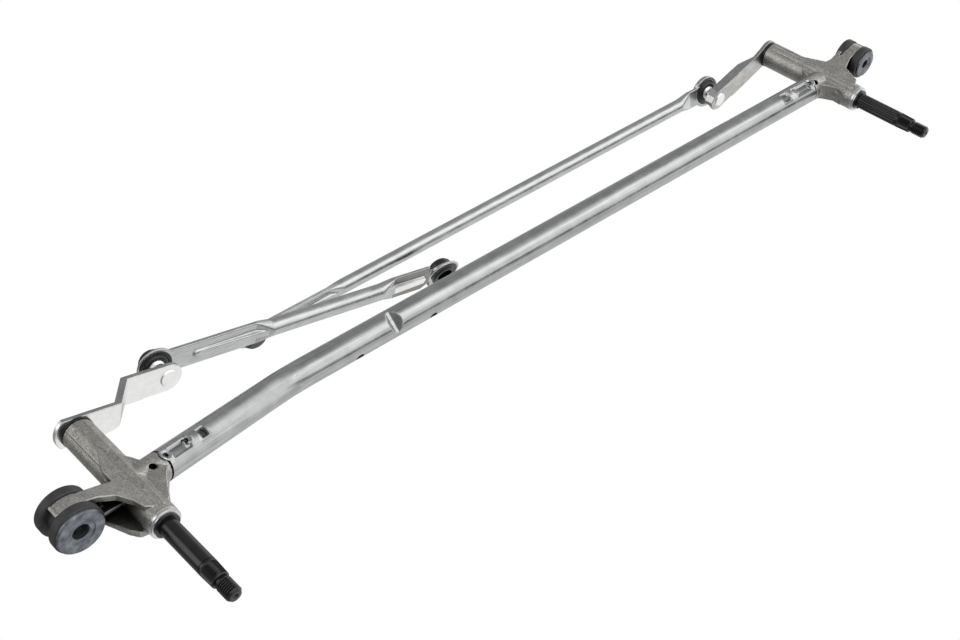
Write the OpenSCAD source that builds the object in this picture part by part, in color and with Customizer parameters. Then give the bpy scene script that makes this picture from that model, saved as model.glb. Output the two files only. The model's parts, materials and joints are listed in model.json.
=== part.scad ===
// Windscreen wiper linkage: a bent tube frame, two die-cast pivot housings on rubber grommets,
// two wiper spindles with levers and ball studs, and two pressed tube links with plastic ball sockets.
// Millimetres. The origin is the middle of the left fixing sleeve. +Z runs along the spindles
// towards the wiper arms, +X runs from the left spindle to the right one.
// Inside the modules lengths are first laid out about a spindle: z = 0 is the rear face of its barrel.

/* [Layout] */
// distance between the two spindle axes
spindle_pitch = 667.6; // [660:0.1:676]
// height of the frame tube's axis where it meets both spindle axes
tube_join_z = 54.6; // [53:0.1:56]
// frame tube bend: distance from the left spindle
bend_x = 138.5; // [130:0.5:150]
// frame tube bend: sideways drop below the spindle line
bend_drop_y = 35; // [30:0.5:38]
// frame tube bend: height above the barrel's rear face
bend_z = 16.4; // [14:0.1:20]
// centre line radius of the bend
bend_radius = 75; // [60:1:110]

/* [Frame tube] */
// tube outside diameter
tube_d = 20; // [19.5:0.1:20.4]
// tube wall
tube_wall = 1.5; // [1.2:0.1:1.8]
// distance from the left spindle axis to the tube's left end
left_tube_start = 24; // [22:0.1:27]
// distance from the right spindle axis to the tube's right end
right_tube_start = 19.5; // [18.5:0.1:23]
// length of each housing's spigot inside the tube
spigot_len = 42; // [40:0.5:52]
// depth of the V-shaped dent that locates the motor bracket
dent_depth = 4; // [3:0.1:5]
// distance of the dent from the bend's corner point
dent_at = 81.5; // [74:0.5:100]
// diameter of the two motor bracket holes
bracket_hole_d = 6.4; // [5:0.1:8]
// distance between the two motor bracket holes
bracket_hole_gap = 62; // [54:0.5:68]
// stake hole diameter at the tube's ends
stake_hole_d = 3.8; // [3:0.1:4.4]

/* [Pivot housings] */
// barrel length
barrel_len = 88; // [86:0.5:92]
// barrel diameter
barrel_d = 20.4; // [19:0.1:22]
// wall of the ear's ribs
rib_wall = 3.4; // [2.6:0.1:4]
// thickness of the web between barrel and tube root
web_w = 13; // [10:0.5:16]
// ear thickness, gripped by the grommet
ear_w = 8.5; // [7.5:0.1:9.5]
// height of the ear's rear face
ear_z = 54.5; // [53.5:0.1:55.5]
// left fixing: distance outward from the spindle
left_ear_x = 39.3; // [38:0.1:42]
// left fixing: distance up from the spindle line
left_ear_y = 7.4; // [5:0.1:9]
// right fixing: distance outward from the spindle
right_ear_x = 34; // [33:0.1:37]
// right fixing: distance up from the spindle line
right_ear_y = 11; // [9:0.1:13]
// angle from the ear's middle line to each hook end
hook_angle = 124; // [115:1:135]

/* [Grommets and sleeves] */
// left grommet diameter
left_grommet_d = 31; // [30:0.1:31.6]
// left groove diameter
left_groove_d = 22.4; // [21:0.1:23.4]
// right grommet diameter
right_grommet_d = 26; // [25:0.1:26.6]
// right groove diameter
right_groove_d = 18.6; // [17.6:0.1:19.4]
// thickness of each grommet flange
grommet_flange = 6.5; // [5.5:0.1:7]
// left sleeve hole diameter, clear of an M8 bolt
left_hole_d = 10; // [8.6:0.1:10.4]
// right sleeve hole diameter, clear of an M6 bolt
right_hole_d = 7; // [6.4:0.1:7.4]
// sleeve wall
sleeve_wall = 2.2; // [1.6:0.1:2.6]
// sleeve flange thickness
sleeve_flange = 1.7; // [1.2:0.1:2.2]

/* [Spindles] */
// shaft diameter
shaft_d = 12; // [11.4:0.1:12.6]
// radial running clearance of each shaft and ball
running_gap = 0.05; // [0.03:0.01:0.09]
// height of the spindle's tip
tip_z = 154; // [150:0.5:158]
// height of the groove below the knurled taper
knurl_z = 128.5; // [126:0.5:131]
// height of the shoulder above the knurled taper
shoulder_z = 141; // [139:0.5:143]
// small end diameter of the knurled taper
taper_d = 11.2; // [10.8:0.1:11.4]
// arm nut thread diameter
thread_d = 10; // [8:0.1:10.2]
// plastic thrust ring thickness
thrust_t = 2; // [1.6:0.1:2.4]
// flat washer thickness
washer_t = 1.6; // [1.2:0.1:2]
// spring washer thickness
spring_washer_t = 1.1; // [0.8:0.1:1.4]
// circlip wire thickness
clip_t = 1.2; // [1:0.1:1.4]

/* [Levers and ball studs] */
// lever strip thickness
lever_t = 3; // [2.5:0.1:3.4]
// lever strip width
lever_w = 20; // [18:0.1:20.6]
// left lever: spindle axis to ball stud axis
left_lever_len = 76; // [74:0.5:80]
// left lever: rearward offset of its outer flat
left_lever_drop = 19; // [17:0.5:20]
// left lever: direction from the spindle line
left_lever_angle = 13.9; // [11:0.1:16]
// right lever: spindle axis to ball stud axis
right_lever_len = 64; // [62:0.5:67]
// right lever: direction from the spindle line
right_lever_angle = 18.9; // [17:0.1:20]
// right lever: depth of its turned-down rim
rim_drop = 5; // [4:0.1:5.6]
// ball diameter
ball_d = 13; // [12.4:0.1:13.2]
// distance from the lever's rear face to the ball's centre
ball_drop = 12.6; // [12:0.1:14]
// rivet head diameter of the ball stud
rivet_d = 12; // [10:0.1:13]

/* [Links] */
// short link: ball centre to ball centre
short_len = 234.6; // [228:0.1:242]
// short link: direction from the spindle line
short_angle = 8.75; // [7.5:0.05:10]
// short link: slope towards the tube
short_tilt = 5; // [4:0.1:6]
// short link: roll about its own length
short_roll = 1.4; // [0:0.1:4]
// short link: twist of its motor eye against its lever end
short_twist = 20; // [12:0.5:24]
// short link tube diameter
short_tube_d = 12; // [11:0.1:12.4]
// long link: ball centre to ball centre
long_len = 446; // [438:0.1:452]
// long link: direction from the spindle line
long_angle = 5.9; // [5.2:0.05:6.5]
// long link: slope away from the housings
long_tilt = 5.9; // [5:0.1:7]
// long link: roll about its own length
long_roll = 8.6; // [0:0.1:10]
// long link: twist of its motor end against its lever end
long_twist = 24.6; // [16:0.1:28]
// long link tube diameter
long_tube_d = 11; // [10:0.1:11.4]
// link tube wall
link_wall = 1.2; // [1:0.1:1.5]
// flattened end: thickness
flat_t = 2.8; // [2.4:0.1:3.2]
// length over which the round tube is pressed flat
press_len = 12; // [10:0.5:14]
// short link: distance from the lever ball to the round tube
short_flat_in = 86; // [82:0.5:94]
// short link: distance from the motor ball to the round tube
short_flat_out = 57; // [54:0.5:64]
// long link: distance from the lever ball to the round tube
long_flat_in = 31; // [29:0.5:36]
// long link: distance from the motor ball to the round tube
long_flat_out = 76; // [70:0.5:80]
// outside diameter of the pressed eye
eye_d = 26.4; // [25.4:0.1:27]
// diameter of the socket where it passes through the eye
socket_d = 20.8; // [20:0.1:21.4]
// height of the eye's rim above the link's middle plane
eye_rise = 1.6; // [1.4:0.1:2]

/* [Hidden] */
$fn = 96;
eps = 0.01;
fix_z = ear_z + ear_w / 2;
shaft_r = shaft_d / 2;
bore_r = shaft_r + running_gap;
barrel_r = barrel_d / 2;
tube_r = tube_d / 2;
tube_ri = tube_r - tube_wall;
ear_top = ear_z + ear_w;
sleeve_z0 = ear_z - grommet_flange;
sleeve_z1 = ear_top + grommet_flange;
washer_z = barrel_len;
spring_z = washer_z + washer_t;
clip_z = spring_z + spring_washer_t;
clip_groove_r = shaft_r - 0.5;
ball_r = ball_d / 2;
cavity_r = ball_r + running_gap;
socket_r = socket_d / 2;
eye_r = eye_d / 2;
left_lever_z = -thrust_t - left_lever_drop - lever_t;
right_lever_z = -thrust_t - lever_t;
left_ball_z = left_lever_z - ball_drop;
right_ball_z = right_lever_z - ball_drop;
tube_left = [0, 0, tube_join_z];
tube_right = [spindle_pitch, 0, tube_join_z];
tube_corner = [bend_x, -bend_drop_y, bend_z];
left_run = tube_corner - tube_left;
right_run = tube_right - tube_corner;
left_dir = left_run / norm(left_run);
right_dir = right_run / norm(right_run);
// the pressed bend is a hair thicker than the straight runs
bend_swell = 0.03;
bend_angle = acos(left_dir * right_dir);
bend_tangent = bend_radius * tan(bend_angle / 2);
left_straight = norm(left_run) - bend_tangent;
right_straight = norm(right_run) - bend_tangent;
dent_dir = [0, 0.77, 0.64];
hole_dir = [0, -0.43, 0.90];
stake_dir = [0, 0.96, 0.28];
clear_gap = 0.4;

// from spindle layout to the part's frame
module rig() {
    translate([left_ear_x, -left_ear_y, -fix_z]) children();
}

// the right side is laid out mirrored, tube towards +X and ear towards -X
module right_side() {
    rig() translate([spindle_pitch, 0, 0]) mirror([1, 0, 0]) children();
}

// puts a shape that stands on +Z at point p, pointing along d
module along(p, d) {
    translate(p) rotate([0, acos(d[2] / norm(d)), atan2(d[1], d[0])]) children();
}

// columns a, b and c are the new directions of X, Y and Z
module frame_at(p, a, b, c) {
    multmatrix([[a[0], b[0], c[0], p[0]], [a[1], b[1], c[1], p[1]], [a[2], b[2], c[2], p[2]], [0, 0, 0, 1]])
        children();
}

// part of v square to the unit direction d, as a unit direction
function square_to(v, d) = (v - d * (v * d)) / norm(v - d * (v * d));

// a point at distance s from the right-hand side of the bend's corner
function right_point(s) = tube_corner + right_dir * s;

// a solid bar of radius r along the frame tube's path
module tube_path(r, left_end, right_end) {
    along(tube_left + left_dir * left_end, left_dir) cylinder(r = r, h = left_straight - left_end);
    along(tube_right - right_dir * right_end, -right_dir) cylinder(r = r, h = right_straight - right_end);
    outward = -square_to(right_dir, left_dir);
    start = tube_left + left_dir * left_straight;
    frame_at(start - outward * bend_radius, outward, left_dir, cross(outward, left_dir))
        rotate_extrude(angle = bend_angle) translate([bend_radius, 0]) circle(r = r + bend_swell);
}

// V-shaped press mark, square to the tube, its flat run on the right
module dent(depth) {
    n = square_to(dent_dir, right_dir);
    frame_at(right_point(dent_at) + n * (tube_r - depth), right_dir, cross(n, right_dir), n)
        rotate([90, 0, 0]) linear_extrude(height = 60, center = true)
            polygon([[0, 0], [40, 40 * tan(17)], [40, 40], [-20, 40], [-20 * tan(24), 20]]);
}

// marks pressed and pierced at a tube end: two stake holes, a lanced window
module stake_cuts(p, d, depth) {
    n = square_to(stake_dir, d);
    frame_at(p, d, cross(n, d), n) {
        translate([4.5, 0, tube_r - depth]) cylinder(d = stake_hole_d, h = depth + 2, $fn = 48);
        translate([21.5, 0, tube_r - depth]) cylinder(d = stake_hole_d, h = depth + 2, $fn = 48);
        translate([31, -3, tube_r - depth]) cube([5.5, 6, depth + 2]);
    }
}

// long shallow panel pressed between the two stake holes
module stake_panel(p, d) {
    n = square_to(stake_dir, d);
    frame_at(p, d, cross(n, d), n) {
        translate([7.5, -2.9, tube_r - 0.9]) cube([11, 5.8, 3]);
    }
}

module main_tube() {
    color([0.72, 0.73, 0.72]) rig() difference() {
        tube_path(tube_r, left_tube_start, right_tube_start);
        dent(dent_depth);
        difference() {
            tube_path(tube_ri, left_tube_start - 1, right_tube_start - 1);
            dent(dent_depth + tube_wall);
        }
        for (s = [-1, 1]) {
            along(right_point(dent_at + s * bracket_hole_gap / 2), square_to(hole_dir, right_dir))
                cylinder(d = bracket_hole_d, h = tube_r + 2);
        }
        stake_cuts(tube_left + left_dir * left_tube_start, left_dir, tube_wall + 1);
        stake_cuts(tube_right - right_dir * right_tube_start, -right_dir, tube_wall + 1);
        stake_panel(tube_left + left_dir * left_tube_start, left_dir);
        stake_panel(tube_right - right_dir * right_tube_start, -right_dir);
    }
}

// closed outline swept across the housing, given as x and z
module side_cut(points) {
    rotate([90, 0, 0]) linear_extrude(height = 120, center = true) polygon(points);
}

// d is the tube's direction away from the barrel, root its distance to the tube's end,
// cross the distance of the root's cross hole, ear the fixing's place,
// groove the grommet's groove radius, flange its outside radius
module housing(d, root, cross, ear, groove, flange) {
    rim = flange - 1.1;
    edge = ear[0] + flange + clear_gap;
    join_z = tube_join_z;
    upper = [ear[0] + rim * cos(58), ear[1] + rim * sin(58)];
    lower = [ear[0] + rim * cos(58), ear[1] - rim * sin(58)];
    difference() {
        union() {
            // barrel, its collar and two parting ridges
            cylinder(r = barrel_r, h = barrel_len);
            rotate([0, 0, 67]) translate([barrel_r - 0.3, -0.5, 4]) cube([0.8, 1, barrel_len - 8]);
            rotate([0, 0, 118]) translate([barrel_r - 1.5, -2.6, 1]) cube([2.2, 5.2, 40]);
            // root of the tube and the spigot inside it
            along([0, 0, join_z], d) cylinder(r = tube_r, h = root);
            along([0, 0, join_z], d) cylinder(r = tube_ri, h = root + spigot_len);
            // web between barrel and root
            rotate([90, 0, 0]) linear_extrude(height = web_w, center = true)
                polygon([[0, 27], [6.3, 35.4], [9.5, 39.7], [14, join_z - 6], [root - 2, join_z + 5.4],
                    [root - 6.7, join_z + 11.7], [root - 10.4, barrel_len - 15], [10, barrel_len - 8], [0, barrel_len - 4]]);
            // open hook that grips the grommet
            translate([ear[0], ear[1], ear_z]) linear_extrude(height = ear_w) difference() {
                circle(r = rim);
                polygon([[0, 0], [50 * cos(hook_angle), 50 * sin(hook_angle)], [-70, 0],
                    [50 * cos(hook_angle), -50 * sin(hook_angle)]]);
            }
            // small lip at the end of the upper hook
            translate([ear[0], ear[1], ear_z]) rotate([0, 0, hook_angle - 6])
                translate([rim - 1.4, 0, 0]) cube([2, 2.2, ear_w]);
            // upper rib, from the hook to the top of the barrel
            intersection() {
                linear_extrude(height = 100)
                    polygon([upper, [-1, barrel_r], [-1, barrel_r - rib_wall - 2], upper - [2, rib_wall]]);
                side_cut([[2, 22], [-1.5, 24], [edge + 12, join_z - 6], [edge + 4, join_z - 2.5], [edge, ear_z],
                    [-70, ear_z], [-70, ear_top], [edge, ear_top], [edge + 9, ear_top + 3],
                    [-8.5, ear_top + 11], [-6, barrel_len - 7], [2, barrel_len - 3]]);
            }
            // lower rib, deeper towards the front
            intersection() {
                linear_extrude(height = 100)
                    polygon([lower, [-2, -barrel_r], [-2, -barrel_r + rib_wall + 2], lower + [-2, rib_wall]]);
                side_cut([[2, 30], [-8, 36], [edge + 8, join_z - 4], [edge, ear_z], [-70, ear_z], [-70, ear_top],
                    [edge, ear_top], [edge + 2, ear_top + 4], [edge + 7, barrel_len - 10],
                    [edge + 11, barrel_len - 5], [2, barrel_len - 4]]);
            }
            // floor, cross rib and middle rib of the hollow between them
            difference() {
                union() {
                    translate([0, 0, join_z - 4.5]) linear_extrude(height = 3)
                        polygon([upper, [0, barrel_r - 1], [0, -barrel_r + 1], lower]);
                    intersection() {
                        linear_extrude(height = 100)
                            polygon([upper, [0, barrel_r - 1], [0, -barrel_r + 1], lower]);
                        union() {
                            translate([edge + 1.5, -60, join_z - 4.5]) cube([2.4, 120, 9.5]);
                            translate([-60, ear[1] * 0.4 - 1.2, join_z - 4.5]) cube([60, 2.4, 15]);
                        }
                    }
                }
                translate([ear[0], ear[1], 0]) cylinder(r = flange + clear_gap, h = 100);
            }
        }
        // shaft bore and its lead-in
        translate([0, 0, -1]) cylinder(r = bore_r, h = barrel_len + 2);
        translate([0, 0, -eps]) cylinder(r1 = bore_r + 0.8, r2 = bore_r, h = 0.8);
        // blind cross hole in the tube's root
        n = square_to([0, 0.9, 0.44], d);
        along([0, 0, join_z] + d * cross + n * (tube_r - 4), n) cylinder(d = 4.6, h = 10, $fn = 48);
        // the tube's stake marks reach into the spigot
        stake_cuts([0, 0, join_z] + d * root, d, tube_wall + 1);
        // seat of the grommet's groove
        translate([ear[0], ear[1], ear_z - 1]) cylinder(r = groove, h = ear_w + 2);
    }
}

module left_housing() {
    color([0.56, 0.55, 0.53]) rig()
        housing(left_dir, left_tube_start, 13, [-left_ear_x, left_ear_y], left_groove_d / 2, left_grommet_d / 2);
}

module right_housing() {
    color([0.56, 0.55, 0.53]) right_side()
        housing([right_dir[0], -right_dir[1], -right_dir[2]], right_tube_start, 16.5,
            [-right_ear_x, right_ear_y], right_groove_d / 2, right_grommet_d / 2);
}

// H-section rubber ring with rounded flange edges
module grommet(groove, flange, hole) {
    round_r = 1.2;
    translate([0, 0, sleeve_z0]) rotate_extrude() difference() {
        union() {
            translate([hole, 0]) square([groove - hole, sleeve_z1 - sleeve_z0]);
            for (z = [0, grommet_flange + ear_w]) {
                translate([hole, z]) square([flange - round_r - hole, grommet_flange]);
                translate([hole, z + round_r]) square([flange - hole, grommet_flange - 2 * round_r]);
                translate([flange - round_r, z + round_r]) circle(r = round_r, $fn = 32);
                translate([flange - round_r, z + grommet_flange - round_r]) circle(r = round_r, $fn = 32);
            }
        }
    }
}

// flanged steel sleeve inside the grommet, with a raised ring round its hole
module sleeve(hole, flange) {
    rotate_extrude() polygon([[hole, sleeve_z0], [hole + sleeve_wall, sleeve_z0], [hole + sleeve_wall, sleeve_z1],
        [flange, sleeve_z1], [flange, sleeve_z1 + sleeve_flange * 0.6], [flange - 0.7, sleeve_z1 + sleeve_flange],
        [hole + 3.4, sleeve_z1 + sleeve_flange], [hole + 2.8, sleeve_z1 + sleeve_flange * 0.7],
        [hole + 0.6, sleeve_z1 + sleeve_flange * 0.7], [hole, sleeve_z1 + sleeve_flange * 0.4]]);
}

module left_grommet() {
    color([0.12, 0.12, 0.12]) rig() translate([-left_ear_x, left_ear_y, 0])
        grommet(left_groove_d / 2, left_grommet_d / 2, left_hole_d / 2 + sleeve_wall);
}

module right_grommet() {
    color([0.12, 0.12, 0.12]) right_side() translate([-right_ear_x, right_ear_y, 0])
        grommet(right_groove_d / 2, right_grommet_d / 2, right_hole_d / 2 + sleeve_wall);
}

module left_sleeve() {
    color([0.6, 0.61, 0.62]) rig() translate([-left_ear_x, left_ear_y, 0])
        sleeve(left_hole_d / 2, left_grommet_d / 2 - 0.9);
}

module right_sleeve() {
    color([0.6, 0.61, 0.62]) right_side() translate([-right_ear_x, right_ear_y, 0])
        sleeve(right_hole_d / 2, right_grommet_d / 2 - 1.9);
}

// staked head, shaft, circlip groove, taper, undercut, thread and chamfer
module spindle() {
    head_z = -thrust_t - lever_t;
    thread_r = thread_d / 2;
    rotate_extrude() polygon([[0, head_z - 2], [shaft_r + 0.6, head_z - 2], [shaft_r + 1.6, head_z - 1], [shaft_r + 1.6, head_z],
        [shaft_r, head_z], [shaft_r, clip_z], [clip_groove_r, clip_z], [clip_groove_r, clip_z + clip_t],
        [shaft_r, clip_z + clip_t], [shaft_r, knurl_z - 0.4], [shaft_r - 0.35, knurl_z - 0.4],
        [shaft_r - 0.35, knurl_z + 0.4], [shaft_r, knurl_z + 0.4], [taper_d / 2, shoulder_z - 0.5], [taper_d / 2 - 0.5, shoulder_z],
        [thread_r - 0.8, shoulder_z], [thread_r - 0.8, shoulder_z + 1.4], [thread_r, shoulder_z + 1.8],
        [thread_r, tip_z - 1.2], [thread_r - 1.2, tip_z], [0, tip_z]]);
}

module left_spindle() {
    color([0.1, 0.1, 0.11]) rig() spindle();
}

module right_spindle() {
    color([0.1, 0.1, 0.11]) right_side() spindle();
}

module ring(r_in, r_out, z, h) {
    translate([0, 0, z]) difference() {
        cylinder(r = r_out, h = h);
        translate([0, 0, -1]) cylinder(r = r_in, h = h + 2);
    }
}

module left_thrust_ring() {
    color([0.06, 0.06, 0.06]) rig() ring(shaft_r, barrel_r + 0.3, -thrust_t, thrust_t);
}

module right_thrust_ring() {
    color([0.06, 0.06, 0.06]) right_side() ring(shaft_r, barrel_r + 0.3, -thrust_t, thrust_t);
}

module left_washer() {
    color([0.85, 0.86, 0.85]) rig() ring(shaft_r, barrel_r - 0.1, washer_z, washer_t);
}

module right_washer() {
    color([0.85, 0.86, 0.85]) right_side() ring(shaft_r, barrel_r - 0.1, washer_z, washer_t);
}

module left_spring_washer() {
    color([0.8, 0.81, 0.8]) rig() ring(shaft_r, barrel_r - 0.9, spring_z, spring_washer_t);
}

module right_spring_washer() {
    color([0.8, 0.81, 0.8]) right_side() ring(shaft_r, barrel_r - 0.9, spring_z, spring_washer_t);
}

// open snap ring in the shaft's groove
module circlip() {
    difference() {
        ring(clip_groove_r, shaft_r + 2, clip_z, clip_t);
        translate([0, -2.5, clip_z - 1]) cube([20, 5, clip_t + 2]);
    }
}

module left_circlip() {
    color([0.08, 0.08, 0.08]) rig() rotate([0, 0, -70]) circlip();
}

module right_circlip() {
    color([0.08, 0.08, 0.08]) right_side() rotate([0, 0, -70]) circlip();
}

module left_lever() {
    half = lever_w / 2;
    knee = 28;
    foot = 44;
    z1 = -thrust_t;
    z2 = -thrust_t - left_lever_drop;
    slope = lever_t * 0.55;
    color([0.86, 0.87, 0.85]) rig() rotate([0, 0, -left_lever_angle]) difference() {
        intersection() {
            // joggled strip seen from its edge
            rotate([90, 0, 0]) linear_extrude(height = 60, center = true)
                polygon([[-30, z1], [knee + slope, z1], [foot + slope, z2], [left_lever_len + 30, z2],
                    [left_lever_len + 30, z2 - lever_t], [foot - slope, z2 - lever_t], [knee - slope, z1 - lever_t],
                    [-30, z1 - lever_t]]);
            // outline seen along the spindle
            translate([0, 0, -60]) linear_extrude(height = 80) union() {
                intersection() {
                    circle(r = half + 3.5);
                    translate([-30, -half]) square([60, lever_w]);
                }
                polygon([[0, half], [0, -half], [20, -half], [26, -half + 0.9], [29.6, -half + 2.9], [33, -half + 2.9],
                    [44.5, -half + 0.5], [46, -half - 0.6], [58, -half - 0.6], [59, -half], [left_lever_len, -half],
                    [left_lever_len, half]]);
                translate([left_lever_len, 0]) circle(r = half);
            }
        }
        // holes for the spindle and the ball stud
        translate([0, 0, -60]) cylinder(r = shaft_r, h = 80);
        translate([left_lever_len, 0, -60]) cylinder(r = 4, h = 80);
    }
}

// pressed plate with a turned-down rim along its upper edge and round its outer end
module right_lever() {
    half = lever_w / 2;
    len = right_lever_len;
    color([0.84, 0.84, 0.82]) right_side() rotate([0, 0, -right_lever_angle]) difference() {
        union() {
            translate([0, 0, right_lever_z]) linear_extrude(height = lever_t) union() {
                intersection() {
                    circle(r = half + 1.5);
                    translate([-30, -half + 1.5]) square([60, 40]);
                }
                polygon([[0, half + 1.5], [14, half - 1.6], [len, half - 1], [len + 6, half - 3.5], [len + 10, 3],
                    [len + 10.5, 0], [len + 8, -half + 4], [len + 2, -half + 0.8], [50, -half + 1.6], [48, -half + 0.4],
                    [40, -half + 0.4], [0, -half + 1.8]]);
            }
            translate([0, 0, right_lever_z - rim_drop]) linear_extrude(height = rim_drop + lever_t) difference() {
                polygon([[14, half - 1.6], [len, half - 1], [len + 6, half - 3.5], [len + 10, 3], [len + 10.5, 0],
                    [len + 7.8, 0], [len + 7.4, 2], [len + 4.4, half - 5.4], [len, half - 3.6], [14, half - 4.2]]);
            }
        }
        translate([0, 0, -60]) cylinder(r = shaft_r, h = 80);
        translate([len, 0, -60]) cylinder(r = 4, h = 80);
        // the rim runs out towards the spindle
        rotate([90, 0, 0]) linear_extrude(height = 80, center = true)
            polygon([[10, right_lever_z - 20], [10, right_lever_z], [16, right_lever_z], [30, right_lever_z - rim_drop],
                [30, right_lever_z - 20]]);
    }
}

// ball, neck, collar against the lever, shank and rivet head
module ball_stud(z_lever) {
    z_ball = z_lever - ball_drop;
    translate([0, 0, z_ball]) sphere(r = ball_r);
    translate([0, 0, z_ball]) cylinder(r = 4.2, h = ball_drop);
    translate([0, 0, z_lever - 2.6]) cylinder(r1 = 5.4, r2 = 6.2, h = 2.6);
    translate([0, 0, z_lever - eps]) cylinder(r = 4, h = lever_t + 2 * eps);
    translate([0, 0, z_lever + lever_t]) cylinder(r1 = rivet_d / 2, r2 = rivet_d / 2 - 0.7, h = 0.9);
}

module left_ball_stud() {
    color([0.8, 0.8, 0.79]) rig() rotate([0, 0, -left_lever_angle]) translate([left_lever_len, 0, 0]) ball_stud(left_lever_z);
}

module right_ball_stud() {
    color([0.8, 0.8, 0.79]) right_side() rotate([0, 0, -right_lever_angle]) translate([right_lever_len, 0, 0])
        ball_stud(right_lever_z);
}

// each link is laid out along +X from its lever ball
module short_link_place() {
    rig() rotate([0, 0, -left_lever_angle]) translate([left_lever_len, 0, left_ball_z])
        rotate([0, 0, left_lever_angle - short_angle]) rotate([0, -short_tilt, 0]) rotate([short_roll, 0, 0]) children();
}

module long_link_place() {
    rig() translate([spindle_pitch, 0, 0]) rotate([0, 0, 180 + right_lever_angle]) translate([right_lever_len, 0, right_ball_z])
        rotate([0, 0, long_angle - right_lever_angle]) rotate([0, long_tilt, 0]) rotate([long_roll, 0, 0]) children();
}

// width of a round tube once it is pressed flat, less what the bead takes up
function pressed_width(tube) = PI * (tube - link_wall) / 2 + link_wall - 0.8;

// flattened end: a plate with the eye's rim from low to high, and the press-down to the round tube
module link_end(flat, tube, bead, eye_turn, low, high) {
    flat_w = pressed_width(tube);
    rotate([eye_turn, 0, 0]) translate([0, 0, low]) cylinder(r = eye_r, h = high - low);
    translate([0, -flat_w / 2, -flat_t / 2]) cube([flat - press_len, flat_w, flat_t]);
    hull() {
        translate([flat - press_len - 0.2, -flat_w / 2, -flat_t / 2]) cube([0.2, flat_w, flat_t]);
        translate([flat, 0, 0]) rotate([0, 90, 0]) cylinder(d = tube, h = 0.2, $fn = 32);
    }
    // raised bead from a rounded tip to the round tube
    if (bead > 0) {
        intersection() {
            union() {
                translate([bead, 0, 0]) rotate([0, 90, 0]) cylinder(r = 3, h = flat - bead);
                translate([bead, 0, 0]) sphere(r = 3);
            }
            translate([0, -5, 0]) cube([flat, 10, 5]);
        }
    }
}

// each end is its flat length, bead start, twist of the eye, low and high side of its rim, twist of the flat
module link(len, tube, near, far) {
    bore_len = len - near[0] - far[0] - 2;
    difference() {
        union() {
            link_end(near[0], tube, near[1], near[2], near[3], near[4]);
            translate([len, 0, 0]) rotate([far[5], 0, 0]) rotate([0, 0, 180])
                link_end(far[0], tube, far[1], far[2], far[3], far[4]);
            translate([near[0], 0, 0]) rotate([0, 90, 0]) cylinder(d = tube, h = len - near[0] - far[0]);
        }
        translate([near[0] + 1, 0, 0]) rotate([0, 90, 0]) cylinder(d = tube - 2 * link_wall, h = bore_len);
        // gap left between the pressed walls of the lever end
        translate([0, -4, -0.3]) cube([near[0] + 3, 8, 0.6]);
        // holes for the sockets
        rotate([near[2], 0, 0]) translate([0, 0, -20]) cylinder(r = socket_r, h = 40);
        translate([len, 0, 0]) rotate([far[5] - far[2], 0, 0]) translate([0, 0, -20]) cylinder(r = socket_r, h = 40);
    }
}

module short_link() {
    color([0.76, 0.77, 0.75]) short_link_place()
        link(short_len, short_tube_d, [short_flat_in, 29, 0, -flat_t / 2, eye_rise, 0],
            [short_flat_out, 19, -short_twist, -flat_t / 2, eye_rise, 0]);
}

module long_link() {
    color([0.76, 0.77, 0.75]) long_link_place()
        link(long_len, long_tube_d, [long_flat_in, 0, 0, -flat_t / 2 - 1.2, eye_rise - 0.6, 0],
            [long_flat_out, 29, 0, -eye_rise, flat_t / 2, -long_twist]);
}

// snap-in ball socket: body in the eye, rear dome, ball cavity open to the front
module socket() {
    difference() {
        union() {
            translate([0, 0, -flat_t / 2]) cylinder(r = socket_r, h = flat_t / 2 + eye_rise - 0.3);
            translate([0, 0, -5.2]) cylinder(r = socket_r - 1.4, h = 5);
            translate([0, 0, -8]) cylinder(r1 = socket_r - 4.2, r2 = socket_r - 1.4, h = 2.8 + eps);
        }
        sphere(r = cavity_r);
    }
}

module short_link_lever_socket() {
    color([0.05, 0.05, 0.05]) short_link_place() socket();
}

module short_link_motor_socket() {
    color([0.05, 0.05, 0.05]) short_link_place() translate([short_len, 0, 0]) rotate([short_twist, 0, 0]) socket();
}

module long_link_lever_socket() {
    color([0.05, 0.05, 0.05]) long_link_place() socket();
}

// this one opens to the rear, so the motor crank lies between the two links
module long_link_motor_socket() {
    color([0.05, 0.05, 0.05]) long_link_place() translate([long_len, 0, 0]) rotate([180 - long_twist, 0, 0]) socket();
}

main_tube();
left_housing();
right_housing();
left_grommet();
right_grommet();
left_sleeve();
right_sleeve();
left_spindle();
right_spindle();
left_lever();
right_lever();
left_ball_stud();
right_ball_stud();
left_thrust_ring();
right_thrust_ring();
left_washer();
right_washer();
left_spring_washer();
right_spring_washer();
left_circlip();
right_circlip();
short_link();
long_link();
short_link_lever_socket();
short_link_motor_socket();
long_link_lever_socket();
long_link_motor_socket();
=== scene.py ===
"""Looks for the wiper linkage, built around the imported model. Metres, in the part's own frame.

Shapes that repeat the part's source are laid out in millimetres about the left spindle, whose barrel
starts at z = 0, and are carried to the part's frame by to_part().
"""

import json
import math

import bmesh
import bpy
import numpy as np
from mathutils import Matrix, Vector


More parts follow.
